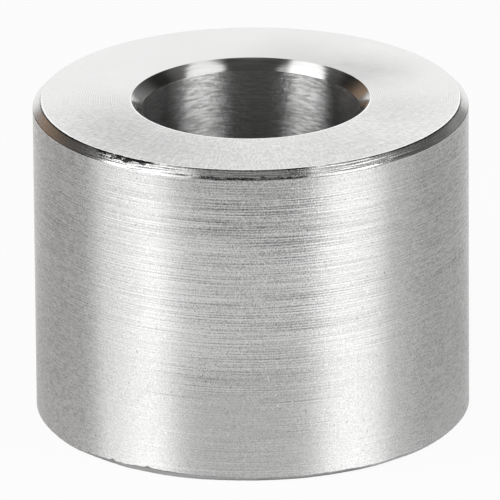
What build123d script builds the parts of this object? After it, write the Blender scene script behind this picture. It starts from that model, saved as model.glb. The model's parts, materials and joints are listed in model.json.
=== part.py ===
"""Solid shaft collar: a turned steel ring with one radial set screw.

The ring slides along a shaft and is locked where it stands by a cup-point
set screw that bites the shaft. The collar stands on its parted-off end with
the bore axis on +Z. The set screw lies along +Y, halfway up the ring, backed
off by whole turns from the shaft.

All sizes are in millimetres. Threads are drawn as plain cylinders at their
major diameter, so that the hole and the screw keep a true running clearance.
"""

import os
from math import radians, sqrt, tan

from build123d import *

# Ring
OUTER_DIAMETER = 40.0
BORE_DIAMETER = 20.0
WIDTH = 30.0
FACED_END_CHAMFER = 0.75  # outer corner of the upper, faced end
PARTED_END_CHAMFER = 0.4  # edge break left by the parting tool at the lower end
BORE_CHAMFER = 0.95  # lead-in for the shaft, the same at both ends

# Tapped hole through the wall, M8 coarse
THREAD_DIAMETER = 8.0
THREAD_PITCH = 1.25
COUNTERSINK_DEPTH = 0.5  # below the ring's outside, at the hole's top and bottom
COUNTERSINK_ANGLE = 90.0

# Set screw, hexagon socket and cup point
THREAD_CLEARANCE = 0.05  # radial, between the screw and its hole
TURNS_BACKED_OFF = 1  # whole turns between the screw's point and the shaft
HEAD_RECESS = 0.75  # the socket end then stands this far inside the ring's outside
SOCKET_ACROSS_FLATS = 4.0
SOCKET_WEB = 1.9  # steel left between the socket's drilled floor and the cup
SOCKET_FLOOR_ANGLE = 120.0  # cone left by the drill under the hexagon
SOCKET_MOUTH_CHAMFER = 0.15  # lead-in for the key, past the hexagon's corners
CUP_DIAMETER = 5.0
CUP_ANGLE = 120.0
CUP_RIM_WIDTH = 0.15  # flat ring left round the cup, the edge that bites

OVERCUT = 1.0  # how far a cutting tool runs past the face it enters
THREAD_DEPTH_PER_PITCH = 0.6134  # metric external thread


def cone_height(radius, full_angle):
    """Height of a cone with that base radius and full angle at its tip."""
    return radius / tan(radians(full_angle / 2))


# Worked out from the sizes above
OUTER_RADIUS = OUTER_DIAMETER / 2
BORE_RADIUS = BORE_DIAMETER / 2
HOLE_RADIUS = THREAD_DIAMETER / 2
THREAD_DEPTH = THREAD_DEPTH_PER_PITCH * THREAD_PITCH
SCREW_RADIUS = HOLE_RADIUS - THREAD_CLEARANCE
SCREW_HEIGHT = WIDTH / 2
SCREW_START = BORE_RADIUS + TURNS_BACKED_OFF * THREAD_PITCH
SCREW_LENGTH = OUTER_RADIUS - HEAD_RECESS - SCREW_START
CUP_DEPTH = cone_height(CUP_DIAMETER / 2, CUP_ANGLE)
SOCKET_FLOOR_DEPTH = cone_height(SOCKET_ACROSS_FLATS / 2, SOCKET_FLOOR_ANGLE)
SOCKET_DEPTH = SCREW_LENGTH - CUP_DEPTH - SOCKET_WEB - SOCKET_FLOOR_DEPTH


def across_the_wall(shape):
    """A shape drawn up the Z axis, laid along +Y at the set screw's height."""
    return Pos(0, 0, SCREW_HEIGHT) * Rot(X=-90) * shape


def turned_blank():
    """The ring as it leaves the lathe: one half section, revolved."""
    section = Polyline(
        (BORE_RADIUS + BORE_CHAMFER, 0, 0),
        (OUTER_RADIUS - PARTED_END_CHAMFER, 0, 0),
        (OUTER_RADIUS, 0, PARTED_END_CHAMFER),
        (OUTER_RADIUS, 0, WIDTH - FACED_END_CHAMFER),
        (OUTER_RADIUS - FACED_END_CHAMFER, 0, WIDTH),
        (BORE_RADIUS + BORE_CHAMFER, 0, WIDTH),
        (BORE_RADIUS, 0, WIDTH - BORE_CHAMFER),
        (BORE_RADIUS, 0, BORE_CHAMFER),
        close=True,
    )
    return revolve(make_face(section), Axis.Z)


def tapped_hole():
    """Cutting tool for the set screw's hole, with its countersink outside."""
    length = OUTER_RADIUS + OVERCUT
    drill = Cylinder(HOLE_RADIUS, length, align=(Align.CENTER, Align.CENTER, Align.MIN))
    mouth_height = COUNTERSINK_DEPTH + OVERCUT
    mouth_radius = HOLE_RADIUS + mouth_height * tan(radians(COUNTERSINK_ANGLE / 2))
    countersink = Cone(
        HOLE_RADIUS,
        mouth_radius,
        mouth_height,
        align=(Align.CENTER, Align.CENTER, Align.MIN),
    )
    return across_the_wall(drill + Pos(0, 0, OUTER_RADIUS - COUNTERSINK_DEPTH) * countersink)


def collar_ring():
    """The turned ring with its tapped hole."""
    return turned_blank() - tapped_hole()


def screw_blank():
    """The set screw's turned form, cup end at Z 0 and socket end up."""
    cup_radius = CUP_DIAMETER / 2
    rim_radius = cup_radius + CUP_RIM_WIDTH
    section = Polyline(
        (0, 0, CUP_DEPTH),
        (cup_radius, 0, 0),
        (rim_radius, 0, 0),
        (SCREW_RADIUS, 0, SCREW_RADIUS - rim_radius),
        (SCREW_RADIUS, 0, SCREW_LENGTH - THREAD_DEPTH),
        (SCREW_RADIUS - THREAD_DEPTH, 0, SCREW_LENGTH),
        (0, 0, SCREW_LENGTH),
        close=True,
    )
    return revolve(make_face(section), Axis.Z)


def key_socket():
    """Cutting tool for the hexagon socket, mouth at Z 0 and floor below."""
    flats_radius = SOCKET_ACROSS_FLATS / 2
    corners_radius = SOCKET_ACROSS_FLATS / sqrt(3)
    mouth_radius = corners_radius + SOCKET_MOUTH_CHAMFER
    hexagon = extrude(RegularPolygon(corners_radius, 6), SOCKET_DEPTH, dir=(0, 0, -1))
    floor_cone = Cone(
        0,
        flats_radius,
        SOCKET_FLOOR_DEPTH,
        align=(Align.CENTER, Align.CENTER, Align.MAX),
    )
    mouth_cone = Cone(0, mouth_radius, mouth_radius, align=(Align.CENTER, Align.CENTER, Align.MAX))
    return hexagon + Pos(0, 0, -SOCKET_DEPTH) * floor_cone + mouth_cone


def set_screw():
    """The set screw in its hole, backed off from the shaft."""
    screw = screw_blank() - Pos(0, 0, SCREW_LENGTH) * key_socket()
    return across_the_wall(Pos(0, 0, SCREW_START) * screw)


os.makedirs("parts", exist_ok=True)
export_step(collar_ring(), "parts/collar_ring.step")
export_step(set_screw(), "parts/set_screw.step")
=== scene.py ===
"""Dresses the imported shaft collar: turned steel ring and threaded set screw.

The part's own frame: the bore axis is +Z, the set screw lies along +Y.
Azimuths are measured from the camera's side of the ring, which faces -Y, and
grow towards +X. The camera, lights and floor are in metres. The two pieces
are modelled in millimetres, at which booleans are exact, and scaled to metres
when they are finished.
"""

import json
import math

import bmesh
import bpy
from mathutils import Matrix, Vector, noise


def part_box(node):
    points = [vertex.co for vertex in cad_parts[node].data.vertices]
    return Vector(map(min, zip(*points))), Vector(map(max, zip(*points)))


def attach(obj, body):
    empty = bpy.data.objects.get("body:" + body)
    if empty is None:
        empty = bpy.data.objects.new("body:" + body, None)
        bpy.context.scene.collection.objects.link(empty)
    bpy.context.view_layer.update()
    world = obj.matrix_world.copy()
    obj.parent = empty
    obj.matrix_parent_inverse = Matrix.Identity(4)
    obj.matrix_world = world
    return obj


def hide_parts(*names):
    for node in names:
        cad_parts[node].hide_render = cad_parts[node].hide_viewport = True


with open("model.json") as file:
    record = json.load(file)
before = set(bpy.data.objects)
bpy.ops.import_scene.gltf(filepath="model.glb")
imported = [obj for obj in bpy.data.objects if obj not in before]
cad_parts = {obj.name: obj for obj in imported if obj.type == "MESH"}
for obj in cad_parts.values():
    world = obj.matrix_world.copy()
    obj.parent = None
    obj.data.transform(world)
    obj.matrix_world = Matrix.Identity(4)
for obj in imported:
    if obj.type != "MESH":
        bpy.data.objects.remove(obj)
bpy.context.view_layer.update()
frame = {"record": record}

MM = 0.001  # metres in a millimetre

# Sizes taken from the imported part, in millimetres
mounts = {mount["name"]: mount for mount in frame["record"]["mounts"]}
ring_low, ring_high = [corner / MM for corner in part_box("collar_ring")]
screw_low, screw_high = [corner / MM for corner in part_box("set_screw")]
OUTER_RADIUS = min(-ring_low.x, -ring_low.y, ring_high.x, ring_high.y)  # facets reach unevenly
WIDTH = ring_high.z - ring_low.z
BORE_RADIUS = mounts["bore"]["dims"]["r_mm"]
BORE_CHAMFER = (WIDTH - mounts["bore"]["dims"]["length_mm"]) / 2
SCREW_RADIUS = (screw_high.z - screw_low.z) / 2
SCREW_HEIGHT = (screw_high.z + screw_low.z) / 2
SCREW_START = screw_low.y
SCREW_END = screw_high.y

# The ring's mesh
RING_COLUMNS = 1440
EDGE_ROUND = 0.03  # how much each corner of its section is rounded
EDGE_STEPS = 3

# The upper, faced chamfer. Azimuths and spreads are in degrees
FACED_CHAMFER = 0.75
WALL_TOP = WIDTH - FACED_CHAMFER
CHAMFER_WAVER = 0.02  # how far it wanders in and out
BURR_STRIP = 0.04  # ragged strip along its upper edge
TEAR_STRIP = 0.12  # what the torn stretch adds to the strip
TEAR_AZIMUTH = -35
TEAR_SPREAD = 11

# The lower chamfer, left by the parting tool
PARTED_CHAMFER = 0.4
PARTED_WAVER = 0.22  # how far it wanders, as a share of its size
PARTED_SPREAD = 16  # of the two places where its form changes
TALL_AZIMUTH = -25  # it is taller and shallower there
PARTED_TALLER = 0.15
PARTED_SHALLOWER = 0.18
NARROW_AZIMUTH = -60
PARTED_NARROWER = 0.16
NICK_AZIMUTHS = (-40.0, -28.8)  # two nicks in its upper edge
NICK_HEIGHT = 0.15
NICK_SPREAD = 0.6

# M8 coarse thread, right-hand
THREAD_PITCH = 1.25
THREAD_SEGMENTS = 96
THREAD_FLANK = math.tan(math.radians(30))  # a flank's run along the axis over its depth
THREAD_CLEARANCE = 0.05  # radial, between the screw and its hole
HOLE_MAJOR = SCREW_RADIUS + THREAD_CLEARANCE
HOLE_MINOR = 3.38  # radius at the crests of the hole's thread
SCREW_MINOR = 3.25  # radius at the roots of the screw's
SCREW_CREST = 0.174  # width of the flat on the screw's thread
COUNTERSINK_DEPTH = 0.5

# The set screw's ends
CUP_RADIUS = 2.5
CUP_RIM = 0.15  # flat ring left round the cup
SOCKET_FLATS = 4.0
SOCKET_DEPTH = 3.5
SOCKET_MOUTH = 0.15  # lead-in past the hexagon's corners
CONE_SLOPE = math.tan(math.radians(30))  # depth over radius of a 120 degree cone

# Camera, in metres
CAMERA_DISTANCE = 1.2
CAMERA_ELEVATION = math.radians(20.53)
CAMERA_ROLL = math.radians(-0.45)
CAMERA_AIM = (-0.00016, 0.00008)  # right and up of the collar's centre
FRAME_FILL = 0.8685  # of the frame's width, taken by the outer diameter
SENSOR = 36.0  # width, in the millimetres that Blender uses for lenses


# ---------------------------------------------------------------- mesh tools

def rounded(corners, radius, steps):
    """A closed outline with each corner turned into a small arc."""
    outline = []
    befores = corners[-1:] + corners[:-1]
    afters = corners[1:] + corners[:1]
    for before, corner, after in zip(befores, corners, afters):
        arrive = (corner - before).normalized()
        leave = (after - corner).normalized()
        trim = radius * math.tan(arrive.angle(leave) / 2)
        start = corner - arrive * trim
        end = corner + leave * trim
        for k in range(steps + 1):
            t = k / steps
            outline.append(start * (1 - t) ** 2 + corner * (2 * t * (1 - t)) + end * t ** 2)
    return outline


def mesh_object(name, points, faces):
    """A new object from points and faces, with its normals made to agree."""
    mesh = bpy.data.meshes.new(name)
    mesh.from_pydata(points, [], faces)
    tidy = bmesh.new()
    tidy.from_mesh(mesh)
    bmesh.ops.recalc_face_normals(tidy, faces=tidy.faces)
    tidy.to_mesh(mesh)
    tidy.free()
    made = bpy.data.objects.new(name, mesh)
    bpy.context.scene.collection.objects.link(made)
    return made


def around_y(radius, angle, y):
    """A point at that radius and angle round the set screw's axis."""
    return Vector((radius * math.sin(angle), y, SCREW_HEIGHT + radius * math.cos(angle)))


def turned_along_y(name, section, segments=THREAD_SEGMENTS):
    """A solid of revolution about the set screw's axis.

    The section is a list of (radius, y) that starts and ends on the axis.
    """
    points = [around_y(0, 0, section[0][1]), around_y(0, 0, section[-1][1])]
    rims = section[1:-1]
    for radius, y in rims:
        points += [around_y(radius, math.tau * i / segments, y) for i in range(segments)]
    faces = []
    last = 2 + segments * (len(rims) - 1)
    for i in range(segments):
        j = (i + 1) % segments
        faces.append((0, 2 + i, 2 + j))
        faces.append((1, last + i, last + j))
        for row in range(len(rims) - 1):
            base = 2 + row * segments
            faces.append((base + i, base + j, base + segments + j, base + segments + i))
    return mesh_object(name, points, faces)


def thread_rod(name, section, low, high):
    """A solid rod along +Y with a right-hand thread.

    The section is one pitch of the thread, as (advance, radius). All rods
    share one phase, so an outer and an inner thread mesh.
    """
    turns = math.ceil((high - low) / THREAD_PITCH)
    first = SCREW_START - math.ceil((SCREW_START - low) / THREAD_PITCH) * THREAD_PITCH
    columns = turns * THREAD_SEGMENTS
    points = []
    index = {}
    for k, (advance, radius) in enumerate(section):
        count = columns + (THREAD_SEGMENTS if k == 0 else 0)
        for i in range(count + 1):
            angle = math.tau * i / THREAD_SEGMENTS
            y = first + THREAD_PITCH * i / THREAD_SEGMENTS + advance
            index[i, k] = len(points)
            points.append(around_y(radius, angle, y))
    for k in range(1, len(section)):
        index.pop((columns + 1, k), None)

    def corner(i, k):
        return index[i, k] if k < len(section) else index[i + THREAD_SEGMENTS, 0]

    faces = []
    for i in range(columns):
        for k in range(len(section)):
            faces.append((corner(i, k), corner(i + 1, k), corner(i + 1, k + 1), corner(i, k + 1)))
    for start in (0, columns):
        rim = [index[i, 0] for i in range(start, start + THREAD_SEGMENTS + 1)]
        rim += [index[start, k] for k in range(len(section) - 1, 0, -1)]
        hub = len(points)
        points.append(around_y(0, 0, first + THREAD_PITCH * (start / THREAD_SEGMENTS + 0.5)))
        faces += [(hub, a, b) for a, b in zip(rim, rim[1:] + rim[:1])]
    return mesh_object(name, points, faces)


def cut(target, tool, operation="DIFFERENCE"):
    """Applies a boolean to the target and removes the tool."""
    step = target.modifiers.new("cut", "BOOLEAN")
    step.operation = operation
    step.object = tool
    step.solver = "MANIFOLD"
    apply_modifiers(target)
    bpy.data.objects.remove(tool)


def apply_modifiers(target):
    """Makes what the modifiers show into the object's own mesh."""
    bpy.context.view_layer.update()
    shown = target.evaluated_get(bpy.context.evaluated_depsgraph_get())
    finished = bpy.data.meshes.new_from_object(shown)
    target.modifiers.clear()
    target.data = finished


def finish_mesh(target, sharp_angle):
    """Scales a piece to metres and shades it smooth between its sharp edges."""
    target.data.transform(Matrix.Scale(MM, 4))
    target.data.shade_smooth()
    target.data.set_sharp_from_angle(angle=sharp_angle)
    weigh = target.modifiers.new("weigh", "WEIGHTED_NORMAL")
    weigh.keep_sharp = True
    weigh.weight = 100
    apply_modifiers(target)


# ---------------------------------------------------------------- the ring

def window(azimuth, centre, spread):
    """A soft bump round an azimuth: 1 at the centre, small past the spread."""
    away = math.remainder(azimuth - centre, 360) / spread
    return math.exp(-away * away)


def ring_section(azimuth):
    """The ring's section at one azimuth, as corners (distance out, height).

    What wavers takes noise from a circle: the larger it is, the quicker the wavering.
    """
    angle = math.radians(azimuth)
    around = Vector((math.sin(angle), -math.cos(angle), 0))
    tall = window(azimuth, TALL_AZIMUTH, PARTED_SPREAD)
    narrow = window(azimuth, NARROW_AZIMUTH, PARTED_SPREAD)
    waver = noise.noise(around * 6) + 0.5 * noise.noise(around * 35)
    depth = PARTED_CHAMFER * (1 + PARTED_WAVER * waver) - PARTED_NARROWER * narrow
    height = depth + PARTED_TALLER * tall
    height += sum(NICK_HEIGHT * window(azimuth, nick, NICK_SPREAD) for nick in NICK_AZIMUTHS)
    depth -= PARTED_SHALLOWER * tall
    faced = FACED_CHAMFER + CHAMFER_WAVER * noise.noise(around * 9)
    ragged = 0.5 + noise.noise(around * 45)
    strip = BURR_STRIP + TEAR_STRIP * window(azimuth, TEAR_AZIMUTH, TEAR_SPREAD)
    onto_end = strip * 0.7 * ragged  # how far the strip runs onto the end face
    return [
        Vector((BORE_RADIUS + BORE_CHAMFER, 0)),
        Vector((OUTER_RADIUS - depth, 0)),
        Vector((OUTER_RADIUS, height)),
        Vector((OUTER_RADIUS, WIDTH - faced)),
        Vector((OUTER_RADIUS - faced + strip, WIDTH - strip)),
        Vector((OUTER_RADIUS - faced - onto_end, WIDTH)),
        Vector((BORE_RADIUS + BORE_CHAMFER, WIDTH)),
        Vector((BORE_RADIUS, WIDTH - BORE_CHAMFER)),
        Vector((BORE_RADIUS, BORE_CHAMFER)),
    ]


def turned_ring():
    """The ring before its hole is tapped."""
    points = []
    for i in range(RING_COLUMNS):
        azimuth = 360 * i / RING_COLUMNS
        angle = math.radians(azimuth)
        for p in rounded(ring_section(azimuth), EDGE_ROUND, EDGE_STEPS):
            points.append((p.x * math.sin(angle), -p.x * math.cos(angle), p.y))
    rows = len(points) // RING_COLUMNS
    faces = []
    for i in range(RING_COLUMNS):
        here = i * rows
        there = (i + 1) % RING_COLUMNS * rows
        for k in range(rows):
            up = (k + 1) % rows
            faces.append((here + k, there + k, there + up, here + up))
    return mesh_object("steel_ring", points, faces)


def hole_thread():
    """Cutting tool for the tapped hole."""
    flank = (HOLE_MAJOR - HOLE_MINOR) * THREAD_FLANK
    root = THREAD_PITCH / 8  # width of the flat at its root
    section = [
        (0, HOLE_MAJOR),
        (root, HOLE_MAJOR),
        (root + flank, HOLE_MINOR),
        (THREAD_PITCH - flank, HOLE_MINOR),
    ]
    return thread_rod("tap", section, BORE_RADIUS / 2, OUTER_RADIUS + THREAD_PITCH)


def countersink():
    """Cutting tool for the hole's chamfered mouth."""
    reach = 1.5  # past the mouth's bottom
    bottom = OUTER_RADIUS - COUNTERSINK_DEPTH
    section = [
        (0, bottom - HOLE_MAJOR),
        (HOLE_MAJOR + reach, bottom + reach),
        (0, bottom + reach),
    ]
    return turned_along_y("countersink", section)


def make_ring():
    """The turned ring with its tapped and countersunk hole."""
    ring = turned_ring()
    cut(ring, hole_thread())
    cut(ring, countersink())
    return ring


# ---------------------------------------------------------------- the set screw

def screw_thread():
    """The set screw's thread, longer than the screw at both ends."""
    flank = (SCREW_RADIUS - SCREW_MINOR) * THREAD_FLANK
    half = SCREW_CREST / 2
    middle = THREAD_PITCH / 16  # of the hole's thread root
    section = [
        (middle - half, SCREW_RADIUS),
        (middle + half, SCREW_RADIUS),
        (middle + half + flank, SCREW_MINOR),
        (middle - half - flank + THREAD_PITCH, SCREW_MINOR),
    ]
    return thread_rod("set_screw_m8", section, SCREW_START - THREAD_PITCH, SCREW_END + THREAD_PITCH)


def screw_envelope():
    """What the thread is cut down to: the cup end and both end chamfers."""
    outside = SCREW_RADIUS + 0.05  # clear of the thread's crests
    rim = CUP_RADIUS + CUP_RIM
    depth = SCREW_RADIUS - SCREW_MINOR
    section = [
        (0, SCREW_START + CUP_RADIUS * CONE_SLOPE),
        (CUP_RADIUS, SCREW_START),
        (rim, SCREW_START),
        (outside, SCREW_START + outside - rim),
        (outside, SCREW_END - depth - (outside - SCREW_RADIUS)),
        (SCREW_RADIUS - depth, SCREW_END),
        (0, SCREW_END),
    ]
    return turned_along_y("envelope", section)


def socket_hexagon():
    """Cutting tool for the hexagon."""
    corners = SOCKET_FLATS / math.sqrt(3)
    reach = 1  # past the screw's end
    section = [
        (0, SCREW_END - SOCKET_DEPTH),
        (corners, SCREW_END - SOCKET_DEPTH),
        (corners, SCREW_END + reach),
        (0, SCREW_END + reach),
    ]
    return turned_along_y("hexagon", section, segments=6)


def socket_floor():
    """Cutting tool for the drilled cone under the hexagon."""
    flats = SOCKET_FLATS / 2
    top = SCREW_END - SOCKET_DEPTH
    reach = 0.5  # up into the hexagon
    section = [
        (0, top - flats * CONE_SLOPE),
        (flats, top),
        (flats, top + reach),
        (0, top + reach),
    ]
    return turned_along_y("drill", section)


def socket_mouth():
    """Cutting tool for the lead-in at the hexagon's corners."""
    mouth = SOCKET_FLATS / math.sqrt(3) + SOCKET_MOUTH
    reach = 1  # past the screw's end
    section = [
        (0, SCREW_END - mouth),
        (mouth + reach, SCREW_END + reach),
        (0, SCREW_END + reach),
    ]
    return turned_along_y("mouth", section)


def make_screw():
    """The threaded set screw with its cup, socket and end chamfers."""
    screw = screw_thread()
    cut(screw, screw_envelope(), "INTERSECT")
    cut(screw, socket_hexagon())
    cut(screw, socket_floor())
    cut(screw, socket_mouth())
    return screw


ring = make_ring()
finish_mesh(ring, sharp_angle=math.radians(32))
screw = make_screw()
finish_mesh(screw, sharp_angle=math.radians(28))

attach(ring, "ring")
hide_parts("collar_ring")
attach(screw, "screw")
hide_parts("set_screw")


# ---------------------------------------------------------------- camera

def make_camera():
    """The long-lens view, from the front and a little above."""
    centre = Vector((0, 0, WIDTH / 2 * MM))
    back = Vector((0, -math.cos(CAMERA_ELEVATION), math.sin(CAMERA_ELEVATION)))
    right = Vector((1, 0, 0))
    up = back.cross(right)
    place = centre + back * CAMERA_DISTANCE
    target = centre + right * CAMERA_AIM[0] + up * CAMERA_AIM[1]
    look = (target - place).normalized()
    right = look.cross(Vector((0, 0, 1))).normalized()
    up = right.cross(look)
    turn = Matrix((right, up, -look)).transposed() @ Matrix.Rotation(CAMERA_ROLL, 3, "Z")
    camera = bpy.data.objects.new("camera", bpy.data.cameras.new("camera"))
    camera.matrix_world = Matrix.Translation(place) @ turn.to_4x4()
    camera.data.sensor_width = SENSOR
    camera.data.lens = SENSOR * FRAME_FILL * CAMERA_DISTANCE / (2 * OUTER_RADIUS * MM)
    camera.data.clip_start = 0.05
    camera.data.clip_end = 20
    bpy.context.scene.collection.objects.link(camera)
    bpy.context.scene.camera = camera


make_camera()


# ---------------------------------------------------------------- node trees

class Tree:
    """A node tree, with short ways to add to it."""

    def __init__(self, owner):
        owner.use_nodes = True
        self.nodes = owner.node_tree.nodes
        self.links = owner.node_tree.links
        self.nodes.clear()

    def feed(self, socket, value):
        """Links a socket to another, or sets its value."""
        if isinstance(value, bpy.types.NodeSocket):
            self.links.new(value, socket)
        else:
            socket.default_value = value

    def add(self, kind, inputs=None, **settings):
        """A new node with its settings and its inputs by name or number."""
        node = self.nodes.new(kind)
        for key, value in settings.items():
            setattr(node, key, value)
        for key, value in (inputs or {}).items():
            self.feed(node.inputs[key], value)
        return node

    def math(self, operation, *values):
        """A Math node's result."""
        return self.add("ShaderNodeMath", dict(enumerate(values)), operation=operation).outputs[0]

    def times(self, first, *others):
        """The product of the values."""
        for other in others:
            first = self.math("MULTIPLY", first, other)
        return first

    def larger(self, first, second):
        """The larger of two values."""
        return self.math("MAXIMUM", first, second)

    def inverse(self, value):
        """1 where the value is 0, and 0 where it is 1."""
        return self.math("SUBTRACT", 1.0, value)

    def total(self, base, *parts):
        """The base with each part, a value and its weight, added to it."""
        for value, weight in parts:
            base = self.math("MULTIPLY_ADD", value, weight, base)
        return base

    def ramp(self, value, low, high, to_low=0.0, to_high=1.0):
        """The value eased from one range to another, held at both ends.

        Where low lies above high, the result runs the other way.
        """
        inputs = {"Value": value, "From Min": low, "From Max": high}
        inputs.update({"To Min": to_low, "To Max": to_high})
        node = self.add("ShaderNodeMapRange", inputs, interpolation_type="SMOOTHSTEP")
        return node.outputs["Result"]

    def join(self, x, y, z):
        """A vector from three values."""
        return self.add("ShaderNodeCombineXYZ", {0: x, 1: y, 2: z}).outputs[0]

    def split(self, vector):
        """A vector's three values."""
        return self.add("ShaderNodeSeparateXYZ", {0: vector}).outputs

    def length(self, vector):
        """A vector's length."""
        node = self.add("ShaderNodeVectorMath", {0: vector}, operation="LENGTH")
        return node.outputs["Value"]

    def scaled(self, vector, factor):
        """A vector, or a colour, times a factor."""
        node = self.add("ShaderNodeVectorMath", {0: vector, "Scale": factor}, operation="SCALE")
        return node.outputs[0]

    def noise(self, vector, scale=1.0, detail=2.0):
        """Noise from 0 to 1 about one half."""
        inputs = {"Vector": vector, "Scale": scale, "Detail": detail}
        return self.add("ShaderNodeTexNoise", inputs).outputs["Fac"]

    def crisp(self, noise):
        """Noise with more contrast, so that it fills the range from 0 to 1."""
        return self.ramp(noise, 0.25, 0.75)

    def mix(self, factor, first, second):
        """Two colours mixed."""
        node = self.add("ShaderNodeMix", {"Factor": factor}, data_type="RGBA")
        self.feed(node.inputs[6], first)
        self.feed(node.inputs[7], second)
        return node.outputs[2]


def grey(value):
    """A neutral colour."""
    return (value, value, value, 1)


# ---------------------------------------------------------------- metal

class TurnedSpace:
    """Where a point lies on turned work: round the axis, out from it and up it.

    Heights, distances and the sizes of marks come in millimetres.
    """

    def __init__(self, tree):
        self.tree = tree
        metres = tree.add("ShaderNodeTexCoord").outputs["Object"]
        self.point = tree.scaled(metres, 1 / MM)
        x, y, z = tree.split(self.point)
        self.across = tree.join(x, y, 0)
        self.out = tree.length(self.across)
        self.up = z
        self.round = tree.scaled(self.across, tree.math("DIVIDE", 1.0, self.out))
        self.back = y

    def along(self, length, step, detail):
        """Noise drawn out to that length round the axis, and another for each step."""
        stretched = self.tree.scaled(self.round, OUTER_RADIUS / length)
        inputs = {0: stretched, 1: self.tree.join(0, 0, step)}
        place = self.tree.add("ShaderNodeVectorMath", inputs, operation="ADD")
        return self.tree.noise(place.outputs[0], detail=detail)

    def marks(self, across, width, length, seed, detail=2.0):
        """Noise drawn out round the axis, as tool marks are."""
        step = self.tree.math("MULTIPLY_ADD", across, 1 / width, seed)
        return self.along(length, step, detail)

    def passes(self, across, pitch, length, seed):
        """Ridge and groove of each tool pass, from -1 to 1, strong in some stretches."""
        tree = self.tree
        turn = tree.math("DIVIDE", across, pitch)
        apart = 3.7  # from the noise of one pass to that of the next
        step = tree.math("MULTIPLY_ADD", tree.math("FLOOR", turn), apart, seed)
        strength = tree.ramp(self.along(length, step, 1.0), 0.3, 0.7)
        return tree.times(tree.math("SINE", tree.times(turn, math.tau)), strength)

    def grain(self, size, detail=2.0):
        """Noise that runs no particular way."""
        return self.tree.noise(self.point, scale=1 / size, detail=detail)

    def facing(self, azimuth, near, far):
        """1 within the near angle of that azimuth from the camera's side, 0 past the far one."""
        angle = math.radians(azimuth)
        aim = (math.sin(angle), -math.cos(angle), 0)
        node = self.tree.add("ShaderNodeVectorMath", {0: self.round, 1: aim}, operation="DOT_PRODUCT")
        low, high = math.cos(math.radians(far)), math.cos(math.radians(near))
        return self.tree.ramp(node.outputs["Value"], low, high)

    def around(self, x, y, radius):
        """1 at that place on an end face, easing to 0 at the radius."""
        inputs = {0: self.across, 1: (x, y, 0)}
        node = self.tree.add("ShaderNodeVectorMath", inputs, operation="DISTANCE")
        return self.tree.ramp(node.outputs["Value"], 0.0, radius, 1.0, 0.0)


class Metal:
    """A new metal, with its node tree and its turned space."""

    def __init__(self, name, colour, roughness, anisotropy=0.0):
        self.material = bpy.data.materials.new(name)
        self.tree = Tree(self.material)
        self.space = TurnedSpace(self.tree)
        self.colour = colour[:3]
        inputs = {"Metallic": 1.0, "Base Color": colour, "Roughness": roughness}
        if anisotropy:
            tangent = self.tree.add("ShaderNodeTangent", direction_type="RADIAL", axis="Z")
            inputs["Anisotropic"] = anisotropy
            inputs["Anisotropic Rotation"] = 0.25  # for grooves that run round the axis
            inputs["Tangent"] = tangent.outputs[0]
        self.shader = self.tree.add("ShaderNodeBsdfPrincipled", inputs)
        self.tree.add("ShaderNodeOutputMaterial", {"Surface": self.shader.outputs[0]})

    def feed(self, name, value):
        """Links or sets one of the shader's inputs."""
        self.tree.feed(self.shader.inputs[name], value)

    def shade(self, change):
        """Multiplies the metal's colour by a value that changes from place to place."""
        self.feed("Base Color", self.tree.scaled(self.colour, change))

    def relief(self, height, depth):
        """Bumps for a height from 0 to 1, where 1 stands for a depth in millimetres."""
        inputs = {"Height": height, "Distance": depth * MM}
        self.feed("Normal", self.tree.add("ShaderNodeBump", inputs).outputs[0])


STEEL = (0.78, 0.78, 0.775, 1)
BLACK = (0.065, 0.066, 0.072, 1)

# Stretches of the ring for facing(): an azimuth, then how far from it, in degrees
FRONT_HALF = (0, 80, 100)
# where a burr gets a painted highlight, with painted shade beside it
LEFT_BURR_GLINT = (-22, 4, 9)
RIGHT_BURR_GLINT = (27, 9, 13)

FACING_FEED = 0.22  # between the rings that the facing tool left
RIM_HIGHLIGHT = 0.19  # width of the painted highlight beside each edge of the faced end

# Painted shade on the faced end, where its reflection is darker: x, y and radius in mm, and how much
# darker
SHADED_PLACES = (
    (-11.5, -10.5, 9.0, 0.22),
    (-6.0, -15.0, 9.0, 0.14),
    (-12.5, -4.0, 8.0, 0.16),
    (4.5, 10.5, 7.5, 0.16),
    (13.0, -3.0, 7.0, 0.13),
    (8.0, -13.5, 9.0, 0.07),
)

# Painted light and shade on the faced chamfer, lighter and darker stretches of its reflection: as for
# facing(), and the change
CHAMFER_STRETCHES = (
    (-34, 3, 8, -0.20),
    (-27, 16, 26, -0.13),
    (-27, 2, 4, 0.20),
    (-6, 8, 20, 0.20),
    (7, 8, 12, -0.14),
    (12.5, 2, 4, -0.42),
    (20, 4, 8, 0.22),
    (27, 5, 10, -0.30),
    (36, 3, 7, 0.20),
    (60, 10, 16, 0.15),
)


def wall_lines(tree, space, upper, limb):
    """Lines of the turning tool: crisp above and in front, fainter elsewhere."""
    passes = space.passes(space.up, pitch=0.25, length=9, seed=3.0)
    streaks = tree.crisp(space.marks(space.up, width=0.11, length=7, seed=3.0, detail=0.0))
    lines = tree.total(-0.25, (passes, 0.44), (streaks, 0.52))
    high = tree.total(0.20, (upper, 0.80))
    in_front = tree.total(0.33, (space.facing(0, 6, 26), 0.50), (limb, -0.03))
    by_chamfer = tree.ramp(space.up, WALL_TOP - 2.5, WALL_TOP - 0.5, 1.0, 0.6)
    return tree.times(lines, tree.times(high, in_front), by_chamfer)


def wall_grain(tree, space, upper, limb):
    """Fine grain between the lines: strong above in front, and at the limb."""
    fine = tree.crisp(space.grain(0.11, detail=0.0))
    grain = tree.total(-0.60, (fine, 1.0), (space.grain(0.30, detail=1.0), 0.2))
    busy = tree.times(upper, space.facing(0, 10, 24))
    return tree.times(grain, tree.total(0.27, (busy, 0.26), (limb, 0.16)))


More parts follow.
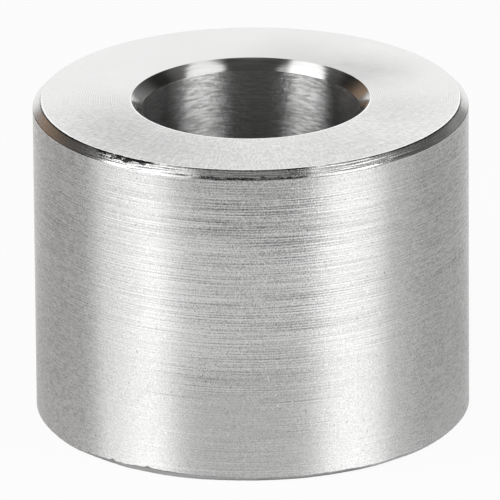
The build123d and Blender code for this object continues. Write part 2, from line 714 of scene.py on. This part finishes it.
def wall_marks(tree, space, limb):
    """Soft bands, light and dark scratches, blotches and spots, each with its weight."""
    scratches = space.marks(space.up, width=0.16, length=14, seed=21.0, detail=1.0)
    dashes = tree.crisp(space.marks(space.up, width=0.16, length=0.8, seed=25.0, detail=1.0))
    blotches = tree.total(-0.5, (dashes, 0.6), (space.grain(0.5), 0.4))
    spots = space.grain(0.26, detail=0.0)
    return (
        (space.marks(space.up, width=0.9, length=30, seed=17.0), 0.03),
        (tree.ramp(scratches, 0.70, 0.80), 0.30),
        (tree.ramp(scratches, 0.30, 0.20), -0.25),
        (tree.times(blotches, limb), 0.45),
        (tree.ramp(spots, 0.785, 0.825), 0.30),
        (tree.ramp(spots, 0.215, 0.175), -0.30),
    )


def wall_painted_light(tree, space, limb):
    """Painted light and shade on the wall, each with its weight: a highlight under the chamfer at the
    limb, shade under the right burr's glint, light from the floor low on the sides, and lighter and
    darker bands that shape the lamps' reflections.
    """
    by_chamfer = tree.ramp(space.up, WALL_TOP - 0.16, WALL_TOP - 0.04)
    by_burr = tree.ramp(space.up, WALL_TOP - 0.14, WALL_TOP - 0.06)
    sides = tree.inverse(space.facing(0, 46, 60))
    waist = tree.times(tree.ramp(space.up, 10.5, 14.5), tree.ramp(space.up, 27.0, 20.0))
    # a painted highlight left of centre, used at the wall's waist to widen the left lamp's reflection
    bright = tree.total(0.0, (space.facing(-7, 12, 21), 0.4), (space.facing(-20, 6, 12), 0.5))
    return (
        (tree.times(by_chamfer, limb), 0.22),
        (tree.times(by_burr, space.facing(*RIGHT_BURR_GLINT)), -0.35),
        (tree.times(tree.ramp(space.up, 7.0, 1.0), sides), 0.10),
        (tree.times(tree.ramp(space.up, 21.0, 25.0), space.facing(4, 8, 22)), -0.13),
        (tree.times(tree.ramp(space.up, 13.5, 10.5), space.facing(2, 14, 26)), -0.07),
        (tree.times(waist, bright), 0.14),
        (tree.ramp(space.up, 4.0, 26.0), -0.05),
        (space.facing(-50, 6, 11), 0.06),
        (space.facing(54, 10, 15), 0.05),
    )


def turned_wall():
    """Turned outside: lines and grain of the tool, scratches, and painted light and shade."""
    metal = Metal("turned_wall", STEEL, 0.45, 0.93)
    tree, space = metal.tree, metal.space
    limb = tree.inverse(space.facing(0, 32, 52))  # where the wall turns away from the camera
    patches = space.marks(space.up, width=2.5, length=9, seed=11.0)
    upper = tree.total(-0.6, (tree.ramp(space.up, 5.0, 19.0), 1.0), (patches, 1.2))
    lines = wall_lines(tree, space, upper, limb)
    grain = wall_grain(tree, space, upper, limb)
    marks = wall_marks(tree, space, limb)
    places = wall_painted_light(tree, space, limb)
    metal.shade(tree.total(0.995, (lines, 1.0), (grain, 1.0), *marks, *places))
    metal.relief(tree.total(0.0, (lines, 1.0), (grain, 1.0)), 0.008)
    return metal.material


def rim_highlights(tree, space):
    """Painted highlights beside both edges of the faced end, fading round the back."""
    inner = BORE_RADIUS + BORE_CHAMFER + RIM_HIGHLIGHT
    outer = OUTER_RADIUS - FACED_CHAMFER - RIM_HIGHLIGHT
    inner_line = tree.ramp(space.out, inner, inner - RIM_HIGHLIGHT / 2)
    outer_line = tree.ramp(space.out, outer, outer + RIM_HIGHLIGHT / 2)
    return tree.times(tree.larger(inner_line, outer_line), space.facing(0, 65, 105))


def faced_end():
    """Faced end: regular feed rings, a smudge, and painted light and shade: highlights beside its
    edges, darker places and a lighter back.
    """
    metal = Metal("faced_end", STEEL, 0.24, 0.45)
    tree, space = metal.tree, metal.space
    wander = space.marks(space.out, width=3.0, length=20, seed=5.0)
    phase = tree.total(0.0, (space.out, math.tau / FACING_FEED), (wander, 2.0))
    rings = tree.math("SINE", phase)
    patchy = tree.ramp(space.grain(3.5), 0.4, 0.65)
    scratches = space.marks(space.out, width=0.12, length=2.5, seed=3.0, detail=1.0)
    strokes = tree.crisp(space.marks(space.out, width=0.60, length=0.22, seed=7.0, detail=1.0))
    fine = tree.total(-0.26, (scratches, 0.3), (strokes, 0.22))
    soiled = tree.total(0.5, (space.grain(2.4), 1.0))
    change = tree.total(
        0.94,
        (space.back, 0.004),  # painted reflection: lighter towards the back, for each mm
        (tree.times(rings, patchy), 0.07),
        (scratches, 0.06),
        (tree.times(fine, space.facing(0, 50, 110)), 1.0),
        (space.grain(5.0), 0.06),
        (tree.times(space.around(10.4, 6.8, 7.0), soiled), -0.27),  # the smudge
        (rim_highlights(tree, space), 0.45),
        *[(space.around(x, y, radius), -shade_depth) for x, y, radius, shade_depth in SHADED_PLACES],
    )
    metal.shade(tree.math("MINIMUM", change, 1.25))  # below white
    metal.relief(tree.total(0.0, (rings, 0.3), (scratches, 1.0), (strokes, 0.3)), 0.003)
    return metal.material


def chamfer_streaks(tree, space):
    """Streaks that the tool drew along the faced chamfer, clear in front."""
    streaks = tree.ramp(space.marks(space.up, width=0.10, length=4, seed=3.0, detail=1.0), 0.38, 0.60)
    clear = tree.total(0.2, (space.facing(0, 36, 52), 0.8), (space.facing(50, 8, 14), 0.5))
    return tree.times(tree.total(-0.5, (streaks, 1.0)), clear)


def chamfer_chatter(tree, space):
    """Closer streaks where the tool chattered."""
    chatter = space.marks(space.up, width=0.055, length=2.4, seed=15.0, detail=0.0)
    chatter = tree.total(-0.68, (tree.ramp(chatter, 0.34, 0.60), 1.0))
    there = tree.total(0.0, (space.facing(-36, 11, 20), 1.0), (space.facing(27, 10, 16), 0.5))
    return tree.times(chatter, there)


def chamfer_tear_shade(tree, space, torn, below_top, above_wall):
    """Torn places along both edges of the faced chamfer, whose darkness is a painted dark reflection,
    with their weights.
    """
    long_torn = space.marks(space.up, width=0.28, length=1.0, seed=9.0, detail=3.0)
    deeper = space.facing(-35, 3, 6)
    top = tree.total(0.56, (below_top, 1.0), (torn, -1.4), (deeper, -0.08))
    low = tree.total(0.19, (above_wall, 1.0), (long_torn, -0.7))
    return (
        (tree.times(tree.ramp(top, 0.05, 0.0), space.facing(-37, 7, 11)), -0.9),
        (tree.times(tree.ramp(low, 0.04, 0.0), space.facing(-3, 12, 18)), -0.9),
    )


def chamfer_edges(tree, space, below_top, above_wall):
    """Painted shade along the faced chamfer's edges, and a painted highlight on its burrs with
    painted shade just above, with their weights.
    """
    front = space.facing(*FRONT_HALF)
    burr_glint_and_shade = tree.larger(space.facing(*RIGHT_BURR_GLINT), space.facing(*LEFT_BURR_GLINT))
    shaded = tree.total(
        0.0,
        (front, 0.8),
        (space.facing(-31, 10, 17), -0.55),
        (space.facing(22, 8, 15), -0.40),
    )
    # painted shade along the chamfer's lower edge, either side of the front
    low_edge_shade = tree.times(front, tree.inverse(space.facing(-5, 40, 47)))
    return (
        (tree.times(tree.ramp(below_top, 0.14, 0.07), shaded), -1.0),
        (tree.times(tree.ramp(above_wall, 0.10, 0.03), low_edge_shade), -0.5),
        (tree.times(tree.ramp(above_wall, 0.24, 0.18), burr_glint_and_shade), -0.55),
        (tree.times(tree.ramp(above_wall, 0.16, 0.10), burr_glint_and_shade), 1.2),
    )


def faced_chamfer():
    """Upper outer chamfer: streaked by the tool and torn along its edges, with painted light and
    shade in stretches, along its edges and on its burrs.
    """
    metal = Metal("faced_chamfer", STEEL, 0.24, 0.5)
    tree, space = metal.tree, metal.space
    below_top = tree.math("SUBTRACT", WIDTH, space.up)
    above_wall = tree.math("SUBTRACT", space.up, WALL_TOP)
    streaks = chamfer_streaks(tree, space)
    chatter = chamfer_chatter(tree, space)
    sandy = tree.crisp(space.grain(0.15, detail=0.0))
    sandy = tree.times(sandy, tree.total(0.35, (space.facing(-3, 10, 20), 0.65)))
    torn = space.marks(space.up, width=0.20, length=0.7, seed=2.0)
    change = tree.total(
        0.90,
        (streaks, 0.40),
        (chatter, 0.62),
        (sandy, 0.60),
        *[(space.facing(*stretch), weight) for *stretch, weight in CHAMFER_STRETCHES],
        *chamfer_tear_shade(tree, space, torn, below_top, above_wall),
        *chamfer_edges(tree, space, below_top, above_wall),
    )
    metal.shade(tree.larger(change, 0.03))  # above black
    metal.relief(tree.total(0.5, (streaks, 1.0), (chatter, 0.2), (torn, 0.05)), 0.008)
    return metal.material


def parted_chamfer():
    """Lower outer chamfer, left by the parting tool: dull and streaked, with painted shade along its
    upper edge.
    """
    metal = Metal("parted_chamfer", STEEL, 0.32, 0.5)
    tree, space = metal.tree, metal.space
    streaks = space.marks(space.up, width=0.12, length=2.5, seed=3.0)
    # painted shade along the upper edge
    upper_edge = tree.ramp(space.up, 0.32, 0.46)
    metal.shade(tree.total(0.28, (streaks, 0.5), (upper_edge, -0.18)))
    metal.relief(streaks, 0.010)
    return metal.material


def bore_chamfer():
    """Bore chamfers: cut smoother than the outer ones, with painted highlights either side of the
    back and painted shade over the back.
    """
    metal = Metal("bore_chamfer", STEEL, 0.15, 0.5)
    tree, space = metal.tree, metal.space
    streaks = space.marks(space.up, width=0.2, length=8, seed=3.0)
    # painted highlights either side of the back
    bright = tree.math("SUBTRACT", space.facing(176, 45, 54), space.facing(176.5, 14, 19))
    # painted shade over the back
    far_side = space.facing(176, 58, 68)
    metal.shade(tree.total(0.61, (bright, 0.72), (streaks, 0.4), (far_side, -0.35)))
    metal.relief(streaks, 0.006)
    return metal.material


def reamed_bore():
    """Bored inside: smooth, with soft ripples, a mottle and painted shade on its sides."""
    metal = Metal("reamed_bore", STEEL, 0.45, 0.96)
    tree, space = metal.tree, metal.space
    ripples = tree.crisp(space.marks(space.up, width=0.26, length=2.2, seed=3.0))
    grain = space.grain(0.30)
    texture = tree.total(-0.35, (ripples, 0.50), (grain, 0.20))
    mottled = tree.math("SUBTRACT", space.facing(180, 36, 52), space.facing(180, 8, 22))
    texture = tree.times(texture, tree.total(0.4, (mottled, 0.6)))
    # painted shade: darker on the sides, away from the back
    lit = tree.total(0.42, (space.facing(180, 34, 52), 0.58))
    metal.shade(tree.times(tree.total(0.79, (texture, 1.0)), lit))
    metal.relief(tree.total(0.0, (ripples, 0.6), (grain, 0.5)), 0.03)
    return metal.material


def tapped_thread():
    """Tapped by hand: bright, a little rough, with traces of oil."""
    metal = Metal("tapped_thread", STEEL, 0.32)
    tree, space = metal.tree, metal.space
    oily = tree.ramp(space.grain(1.2), 0.40, 0.60)
    grain = space.grain(0.12)
    metal.shade(tree.total(0.72, (oily, -0.22), (grain, 0.35)))
    metal.feed("Roughness", tree.total(0.22, (grain, 0.2)))
    metal.relief(grain, 0.010)
    return metal.material


def black_oxide():
    """Black oxide on the set screw: nearly black, cloudy, with specks rubbed bright."""
    metal = Metal("black_oxide", BLACK, 0.4)
    tree, space = metal.tree, metal.space
    cloudy = space.grain(0.9)
    grain = space.grain(0.10)
    rubbed = tree.ramp(space.grain(0.12), 0.66, 0.76, 0.0, 0.12)
    dark = tree.scaled(metal.colour, tree.total(0.5, (cloudy, 0.7), (grain, 0.4)))
    metal.feed("Base Color", tree.mix(rubbed, dark, STEEL))
    metal.feed("Roughness", tree.total(0.28, (cloudy, 0.15), (grain, 0.12)))
    metal.relief(grain, 0.008)
    return metal.material


def ring_zone(centre, normal):
    """Which finish a face of the ring has, by its place and the way it faces.

    The ends' normals point nearly straight along the axis, the walls' nearly across it.
    """
    out = math.hypot(centre.x, centre.y) / MM
    from_screw = math.hypot(centre.x / MM, centre.z / MM - SCREW_HEIGHT)
    mouth = HOLE_MAJOR + COUNTERSINK_DEPTH * 1.5
    skin = 0.002  # how near to the ring's inside and outside a face counts as part of them
    within = BORE_RADIUS + skin < out < OUTER_RADIUS - skin
    if centre.y > 0 and within and from_screw < mouth:
        return "thread"
    if abs(normal.z) > 0.9:
        return "end"
    outside = out > (BORE_RADIUS + OUTER_RADIUS) / 2
    if outside and normal.z < -0.2:
        return "parted_chamfer"
    if abs(normal.z) < 0.5:
        return "wall" if outside else "bore"
    return "faced_chamfer" if outside else "bore_chamfer"


def paint_ring():
    """Gives each face of the ring the finish of its zone."""
    finishes = {
        "wall": turned_wall(),
        "end": faced_end(),
        "faced_chamfer": faced_chamfer(),
        "parted_chamfer": parted_chamfer(),
        "bore_chamfer": bore_chamfer(),
        "bore": reamed_bore(),
        "thread": tapped_thread(),
    }
    zones = list(finishes)
    ring.data.materials.clear()
    for finish in finishes.values():
        ring.data.materials.append(finish)
    for face in ring.data.polygons:
        face.material_index = zones.index(ring_zone(face.center, face.normal))


paint_ring()
screw.data.materials.clear()
screw.data.materials.append(black_oxide())


# ---------------------------------------------------------------- studio

# The floor
FLOOR_REACH = 6.0  # metres to each side
FLOOR_PAINT = grey(0.8)
FLOOR_GLOW = 0.93  # share of its brightness that is its own, where it shows as background
FLOOR_SIDES = 0.6  # of that, in reflections of the floor on the left and right: painted shade on its sides
# Between these distances from the axis, in mm, its reflection turns from dark to pale
CONTACT_START = OUTER_RADIUS - 0.52
CONTACT_END = OUTER_RADIUS + 0.08
CONTACT_SHIFT = 1.2  # how much nearer both lie on the right, where the glow is painted light reaching under the ring

# The room that the metal mirrors
BACKGROUND = grey(0.97)  # all that the camera itself sees of it
SWEEP = grey(1.05)
CEILING = grey(0.50)
TIMBER_LEFT = (0.37, 0.255, 0.175, 1)
WALL_RIGHT = grey(0.31)
SKIRTING = (0.24, 0.235, 0.225, 1)
FAR_WALL = (0.26, 0.258, 0.255, 1)
ROOM_BELOW = (0.05, 0.049, 0.047, 1)
ROOM_ABOVE = (0.12, 0.118, 0.115, 1)

LAMP_DISTANCE = 1.0
# Azimuth and elevation in degrees, width and height in metres, radiance
SOFTBOXES = {
    "left_main": (-57, 27, 0.41, 0.60, 4.2),
    "left_side": (-79.6, 27, 0.25, 0.60, 3.9),
    "right_main": (55.2, 27, 0.67, 0.60, 4.1),
    "right_side": (88, 20, 0.35, 0.40, 0.8),
    "left_high": (-77, 53.5, 0.62, 0.46, 1.0),
    "right_high": (70, 56, 0.46, 0.44, 0.75),
}


def towards(azimuth, elevation):
    """The direction at that azimuth from the camera's side and that elevation."""
    azimuth, elevation = math.radians(azimuth), math.radians(elevation)
    flat = math.cos(elevation)
    return Vector((math.sin(azimuth) * flat, -math.cos(azimuth) * flat, math.sin(elevation)))


def softbox(name, azimuth, elevation, width, height, radiance):
    """A rectangular soft light that faces the collar."""
    lamp = bpy.data.lights.new(name, "AREA")
    lamp.shape = "RECTANGLE"
    lamp.size = width
    lamp.size_y = height
    lamp.energy = radiance * math.pi * width * height
    holder = bpy.data.objects.new(name, lamp)
    direction = towards(azimuth, elevation)
    holder.location = direction * LAMP_DISTANCE + Vector((0, 0, WIDTH / 2 * MM))
    holder.rotation_euler = direction.to_track_quat("Z", "Y").to_euler()
    bpy.context.scene.collection.objects.link(holder)


def glow_share(tree, x, away, path):
    """How much of its brightness each point of the floor gives by itself.

    Only rays that show it as a background see this glow, and none inside the bore,
    where no light reaches it.
    """
    rightward = tree.math("DIVIDE", x, away)
    shift = tree.ramp(rightward, 0.5, 0.7, 0.0, CONTACT_SHIFT * MM)
    contact = tree.ramp(tree.math("ADD", away, shift), CONTACT_START * MM, CONTACT_END * MM)
    past_bore = tree.math("GREATER_THAN", away, (BORE_RADIUS + OUTER_RADIUS) / 2 * MM)
    outside = tree.larger(contact, tree.times(past_bore, path["Is Camera Ray"]))
    plainly = tree.larger(path["Is Camera Ray"], path["Is Glossy Ray"])
    plainly = tree.larger(plainly, path["Is Transmission Ray"])
    return tree.times(plainly, outside, FLOOR_GLOW)


def make_floor():
    """A large pale floor that shows nearly white and keeps the collar's shadow."""
    low, high = -FLOOR_REACH, FLOOR_REACH
    corners = [(low, low, 0), (high, low, 0), (high, high, 0), (low, high, 0)]
    floor = mesh_object("floor", corners, [(0, 1, 2, 3)])
    material = bpy.data.materials.new("pale_floor")
    tree = Tree(material)
    place = tree.add("ShaderNodeTexCoord").outputs["Object"]
    x = tree.split(place)[0]
    away = tree.length(place)
    path = tree.add("ShaderNodeLightPath").outputs
    sideways = tree.math("ABSOLUTE", tree.math("DIVIDE", x, away))
    mirrored = tree.ramp(sideways, 0.35, 0.95, 1.0, FLOOR_SIDES)
    strength = tree.larger(mirrored, path["Is Camera Ray"])
    paint = tree.add("ShaderNodeBsdfDiffuse", {"Color": FLOOR_PAINT})
    glow = tree.add("ShaderNodeEmission", {"Strength": strength})
    share = glow_share(tree, x, away, path)
    both = tree.add("ShaderNodeMixShader", {0: share, 1: paint.outputs[0], 2: glow.outputs[0]})
    tree.add("ShaderNodeOutputMaterial", {"Surface": both.outputs[0]})
    floor.data.materials.append(material)


def room_colour(tree, direction):
    """A dim room with a pale sweep behind the collar and timber beside it on the left."""
    x, y, z = tree.split(direction)
    level = tree.larger(tree.length(tree.join(x, y, 0)), 0.001)
    behind = tree.math("DIVIDE", y, level)
    rightward = tree.math("DIVIDE", x, level)
    horizon = tree.ramp(z, 0.02, 0.10, 0.15, 0.0)
    sweep = tree.times(tree.ramp(behind, 0.87, 0.95), tree.ramp(z, 0.55, 0.70, 1.0, 0.0))
    sides = tree.times(tree.ramp(behind, 0.1, 0.5), tree.ramp(z, 0.10, 0.55, 1.0, 0.0))
    ceiling = tree.times(tree.ramp(y, 0.32, 0.46), tree.ramp(z, 0.62, 0.75))
    ceiling = tree.larger(ceiling, tree.ramp(z, 0.965, 0.985))
    far_wall = tree.times(tree.ramp(y, -0.75, -0.90), tree.ramp(z, 0.14, 0.20))
    beside = tree.mix(tree.ramp(rightward, 0.1, -0.3), WALL_RIGHT, TIMBER_LEFT)
    beside = tree.mix(tree.ramp(z, 0.20, 0.10), beside, SKIRTING)
    room = tree.mix(tree.ramp(z, 0.6, 0.9), ROOM_BELOW, ROOM_ABOVE)
    room = tree.mix(ceiling, room, CEILING)
    room = tree.mix(far_wall, room, FAR_WALL)
    room = tree.mix(sides, room, beside)
    return tree.mix(tree.larger(horizon, sweep), room, SWEEP)


def make_world():
    """The room, which lights the collar and is mirrored in it, and plain white to the camera."""
    world = bpy.data.worlds.new("studio")
    bpy.context.scene.world = world
    tree = Tree(world)
    room = room_colour(tree, tree.add("ShaderNodeTexCoord").outputs["Generated"])
    camera = tree.add("ShaderNodeLightPath").outputs["Is Camera Ray"]
    colour = tree.mix(camera, room, BACKGROUND)
    sky = tree.add("ShaderNodeBackground", {"Color": colour, "Strength": 1.0})
    tree.add("ShaderNodeOutputWorld", {"Surface": sky.outputs[0]})


make_floor()
make_world()
for name, values in SOFTBOXES.items():
    softbox(name, *values)
bpy.context.scene.view_settings.view_transform = "Standard"
